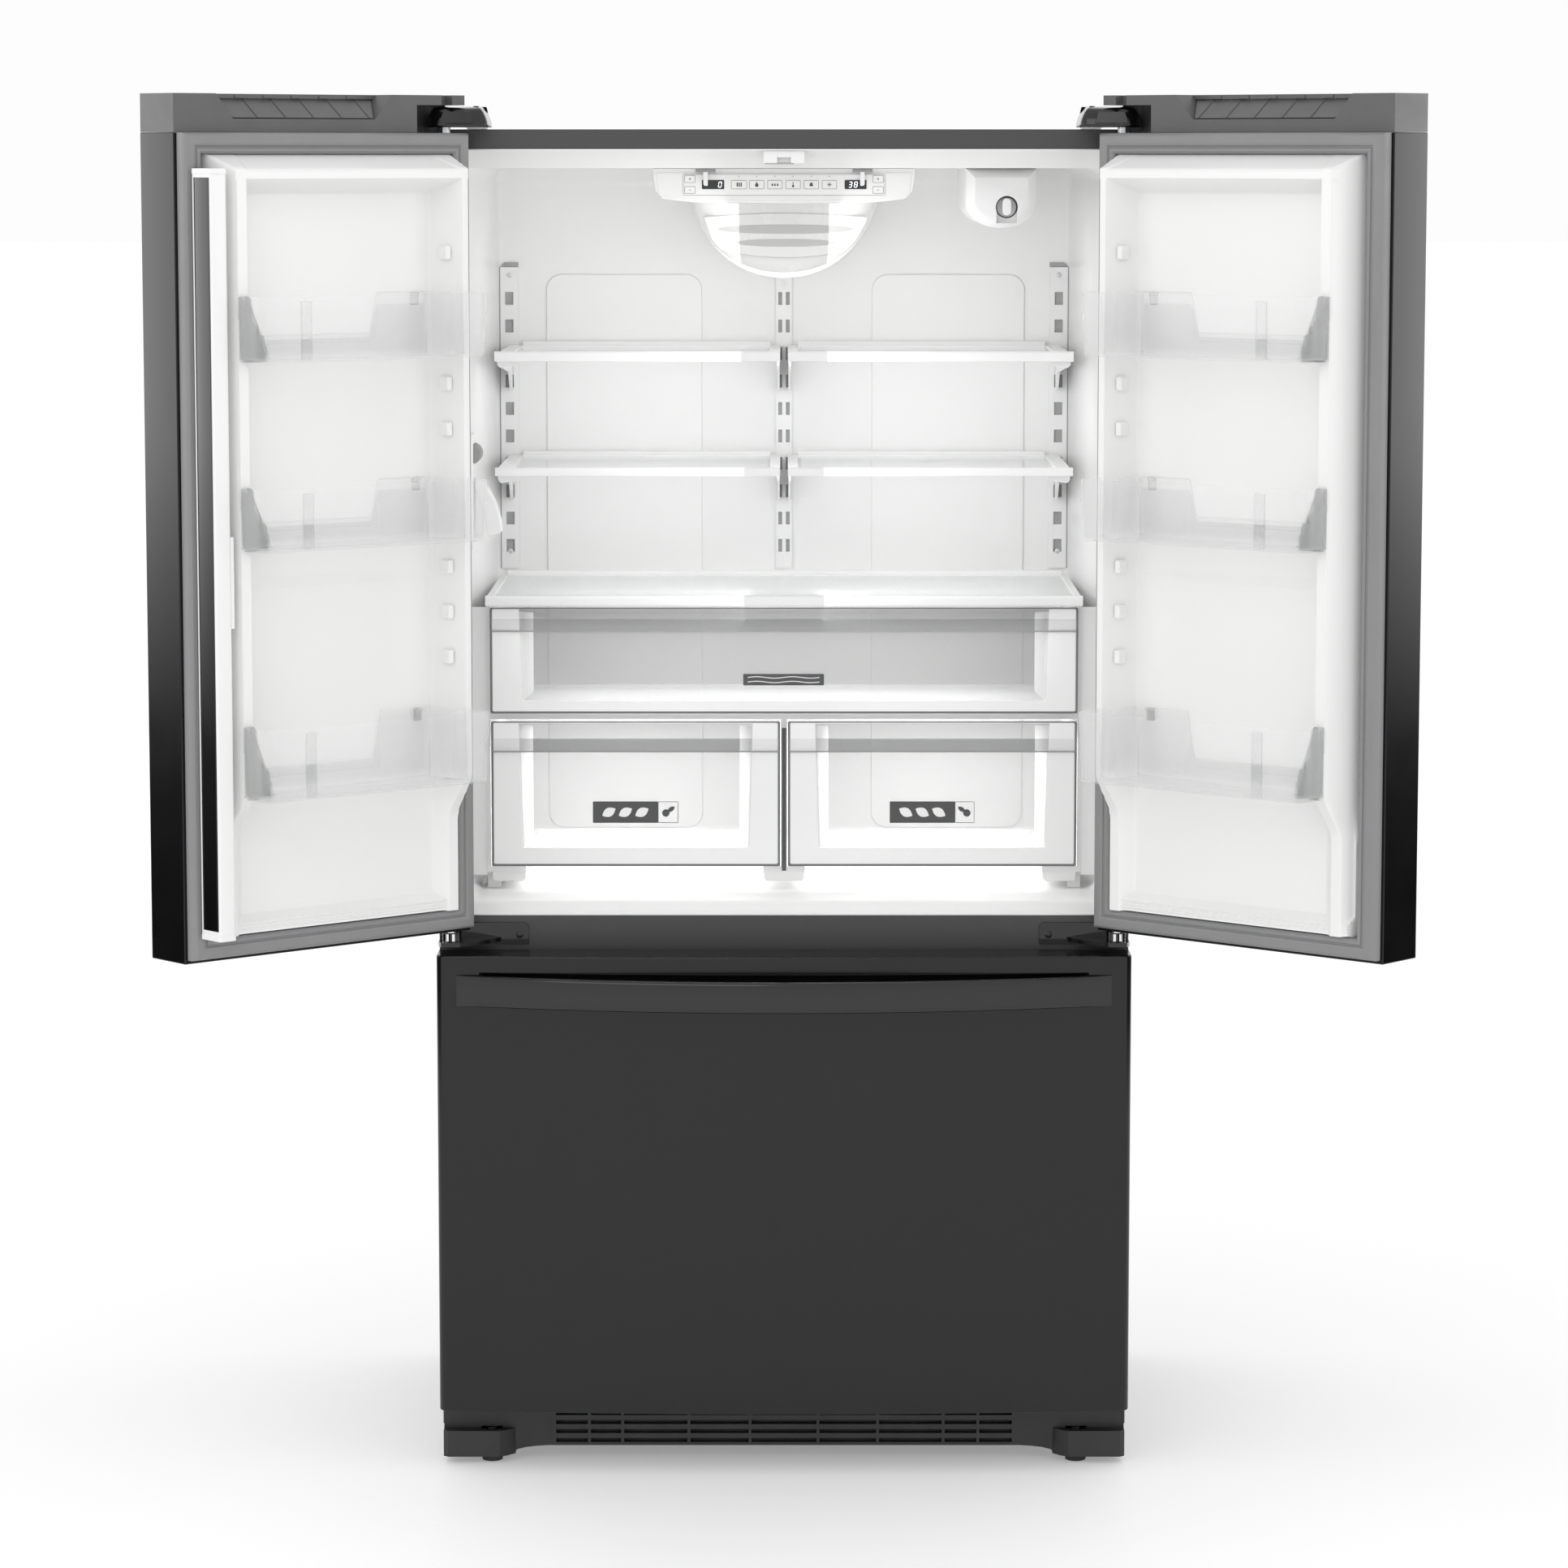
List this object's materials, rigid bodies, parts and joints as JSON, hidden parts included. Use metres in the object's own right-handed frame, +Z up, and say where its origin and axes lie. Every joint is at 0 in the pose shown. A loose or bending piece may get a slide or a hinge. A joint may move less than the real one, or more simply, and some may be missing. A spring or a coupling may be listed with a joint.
{
  "type": "french door refrigerator",
  "caption": "Upright cabinet with two side-hinged fresh-food doors over a pull-out freezer drawer, with shelves, crispers, door bins and a folding mullion.",
  "frame": {"origin": "centre of the bottom of the whole object's box on the floor, with both doors standing open", "axes": "+Z up, +X to the right seen from the front, +Y towards the back"},
  "size_m": [1.6042, 1.0156, 1.795],
  "materials": {
    "shell_paint": "satin charcoal paint",
    "gloss_black": "high gloss black",
    "door_black": "gloss black paint",
    "white_plastic": "smooth semi-gloss white",
    "liner_white": "smooth semi-gloss white",
    "clear_plastic": "clear, slightly frosted plastic",
    "shelf_glass": "clear glass in a white frame",
    "gasket_grey": "matte grey",
    "foam": "matte",
    "zinc_steel": "zinc plated",
    "dark_parts": "matte black",
    "black_paint": "black paint",
    "overlay": "matte white film"
  },
  "bodies": {
    "cabinet": {"cabinet_shell": "shell_paint", "fresh_food_liner": "liner_white", "freezer_liner": "liner_white", "insulation_foam": "foam", "base_pan": "zinc_steel", "compressor": "black_paint", "condenser_coil": "black_paint", "machine_cover": "dark_parts", "base_grille": "dark_parts", "left_leveling_leg": "dark_parts", "right_leveling_leg": "dark_parts", "left_top_hinge": "zinc_steel", "right_top_hinge": "zinc_steel", "left_hinge_cover": "gloss_black", "right_hinge_cover": "gloss_black", "left_center_hinge": "black_paint", "right_center_hinge": "black_paint", "control_housing": "white_plastic", "control_panel": "overlay", "light_cover": "clear_plastic", "filter_housing": "white_plastic", "mullion_guide": "white_plastic", "left_shelf_ladder": "white_plastic", "right_shelf_ladder": "white_plastic", "center_shelf_ladder": "white_plastic", "left_upper_shelf": "shelf_glass", "right_upper_shelf": "shelf_glass", "left_lower_shelf": "shelf_glass", "right_lower_shelf": "shelf_glass", "crisper_cover": "shelf_glass", "drawer_frame": "white_plastic"},
    "left_door": {"left_door_panel": "door_black", "left_door_liner": "liner_white", "left_door_gasket": "gasket_grey", "left_door_handle": "gloss_black", "left_upper_bin": "clear_plastic", "left_middle_bin": "clear_plastic", "left_lower_bin": "clear_plastic"},
    "right_door": {"right_door_panel": "door_black", "right_door_liner": "liner_white", "right_door_gasket": "gasket_grey", "right_door_handle": "gloss_black", "right_upper_bin": "clear_plastic", "right_middle_bin": "clear_plastic", "right_lower_bin": "clear_plastic"},
    "mullion_flap": {"mullion_flap": "white_plastic"},
    "freezer_drawer": {"freezer_panel": "door_black", "freezer_gasket": "gasket_grey", "freezer_handle": "gloss_black", "freezer_basket": "white_plastic"},
    "deli_drawer": {"deli_drawer": "clear_plastic"},
    "left_crisper": {"left_crisper": "clear_plastic"},
    "right_crisper": {"right_crisper": "clear_plastic"},
    "left_door_switch": {"left_door_switch": "white_plastic"},
    "right_door_switch": {"right_door_switch": "white_plastic"},
    "water_paddle": {"water_paddle": "white_plastic"},
    "water_filter": {"water_filter": "white_plastic"},
    "condenser_fan": {"condenser_fan": "dark_parts"},
    "left_rear_roller": {"left_rear_roller": "dark_parts"},
    "right_rear_roller": {"right_rear_roller": "dark_parts"}
  },
  "joints": [
    {"name": "left_door_hinge", "type": "hinge", "parent": "cabinet", "child": "left_door", "pos_m": [-0.435, -0.15817, 1.2], "axis": [0, 0, -1], "range_deg": [-139, 0]},
    {"name": "right_door_hinge", "type": "hinge", "parent": "cabinet", "child": "right_door", "pos_m": [0.435, -0.15817, 1.2], "axis": [0, 0, 1], "range_deg": [-139, 0]},
    {"name": "mullion_flap_hinge", "type": "hinge", "parent": "left_door", "child": "mullion_flap", "pos_m": [-0.72153, -0.46455, 1.226], "axis": [0, 0, 1], "range_deg": [-90.1, 0]},
    {"name": "freezer_drawer_slide", "type": "slide", "parent": "cabinet", "child": "freezer_drawer", "axis": [0, -1, 0], "range_m": [0, 0.4]},
    {"name": "deli_drawer_slide", "type": "slide", "parent": "cabinet", "child": "deli_drawer", "axis": [0, -1, 0], "range_m": [0, 0.25]},
    {"name": "left_crisper_slide", "type": "slide", "parent": "cabinet", "child": "left_crisper", "axis": [0, -1, 0], "range_m": [0, 0.25]},
    {"name": "right_crisper_slide", "type": "slide", "parent": "cabinet", "child": "right_crisper", "axis": [0, -1, 0], "range_m": [0, 0.25]},
    {"name": "left_door_switch_hinge", "type": "hinge", "parent": "cabinet", "child": "left_door_switch", "pos_m": [-0.102, -0.05867, 1.7], "axis": [1, 0, 0], "range_deg": [0, 10], "stiffness_Nm_per_rad": 0.02},
    {"name": "right_door_switch_hinge", "type": "hinge", "parent": "cabinet", "child": "right_door_switch", "pos_m": [0.102, -0.05867, 1.7], "axis": [1, 0, 0], "range_deg": [0, 10], "stiffness_Nm_per_rad": 0.02},
    {"name": "water_paddle_hinge", "type": "hinge", "parent": "cabinet", "child": "water_paddle", "pos_m": [-0.404, 0.03383, 1.29], "axis": [0, 1, 0], "range_deg": [0, 8], "stiffness_Nm_per_rad": 0.2},
    {"name": "water_filter_turn", "type": "hinge", "parent": "cabinet", "child": "water_filter", "pos_m": [0.293, 0.08183, 1.651], "axis": [0, 1, 0], "range_deg": [0, 90]},
    {"name": "condenser_fan_spin", "type": "hinge", "parent": "cabinet", "child": "condenser_fan", "pos_m": [-0.045, 0.38983, 0.15], "axis": [1, 0, 0], "continuous": true},
    {"name": "left_rear_roller_spin", "type": "hinge", "parent": "cabinet", "child": "left_rear_roller", "pos_m": [-0.3815, 0.46183, 0.0205], "axis": [1, 0, 0], "continuous": true},
    {"name": "right_rear_roller_spin", "type": "hinge", "parent": "cabinet", "child": "right_rear_roller", "pos_m": [0.3815, 0.46183, 0.0205], "axis": [1, 0, 0], "continuous": true}
  ],
  "couplings": [
    {"joint": "mullion_flap_hinge", "follows": "left_door_hinge", "ratio": 0.6475}
  ]
}
